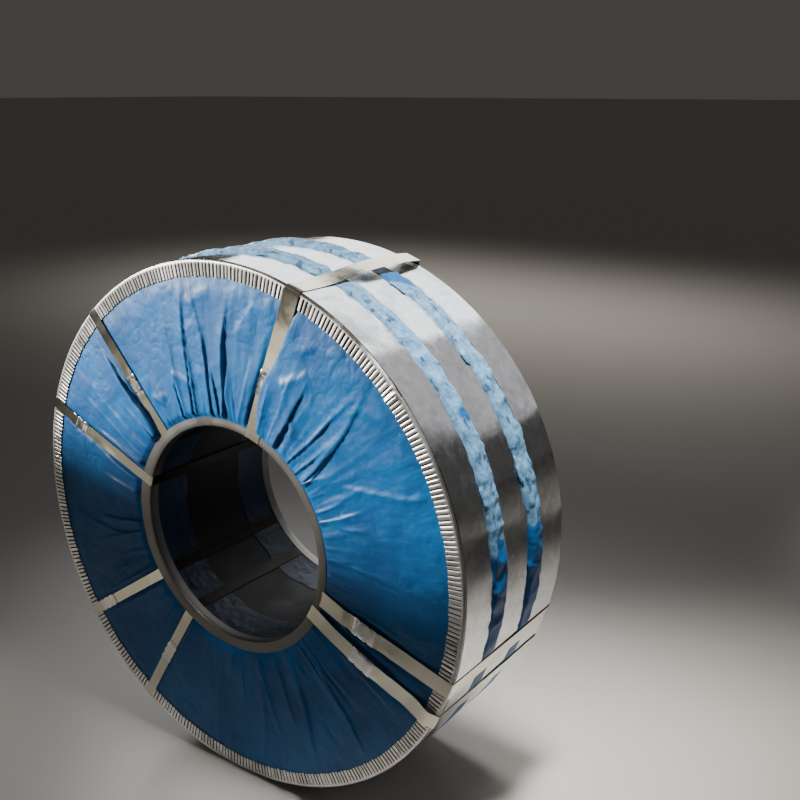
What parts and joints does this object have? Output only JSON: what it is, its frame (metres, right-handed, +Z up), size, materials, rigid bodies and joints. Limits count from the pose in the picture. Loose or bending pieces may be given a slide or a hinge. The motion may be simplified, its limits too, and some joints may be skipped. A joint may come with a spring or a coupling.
{
  "type": "steel coil",
  "caption": "Wrapped steel coil lying on its side: blue woven wrap pleated into the eye, fluted edge rings, galvanised bands and flat steel eye straps with seals.",
  "frame": {"origin": "centre of the bounding box's bottom face, on the floor below the coil's axis", "axes": "+Z up, -Y out of the front end of the eye, X across the coil"},
  "size_m": [1.2135, 0.4139, 1.2135],
  "materials": {
    "coil_steel": "cold rolled strip, oiled",
    "wrap_cloth": "coated woven cloth, satin",
    "edge_steel": "galvanised strip, satin",
    "band_steel": "galvanised, smooth, with spangle",
    "strap_steel": "zinc coated strapping",
    "seal_steel": "zinc coated, crimped"
  },
  "bodies": {
    "root": {"steel_coil": "coil_steel", "woven_wrap": "wrap_cloth", "outer_edge_ring_front": "edge_steel", "outer_edge_ring_rear": "edge_steel", "inner_edge_ring_front": "edge_steel", "inner_edge_ring_rear": "edge_steel", "outer_band_front": "band_steel", "outer_band_middle": "band_steel", "outer_band_rear": "band_steel", "eye_strap_1": "strap_steel", "eye_strap_2": "strap_steel", "eye_strap_3": "strap_steel", "eye_strap_4": "strap_steel", "eye_strap_5": "strap_steel", "eye_strap_6": "strap_steel", "eye_strap_7": "strap_steel", "strap_seal_1": "seal_steel", "strap_seal_2": "seal_steel", "strap_seal_3": "seal_steel", "strap_seal_4": "seal_steel", "strap_seal_5": "seal_steel", "strap_seal_6": "seal_steel", "strap_seal_7": "seal_steel"}
  },
  "joints": []
}
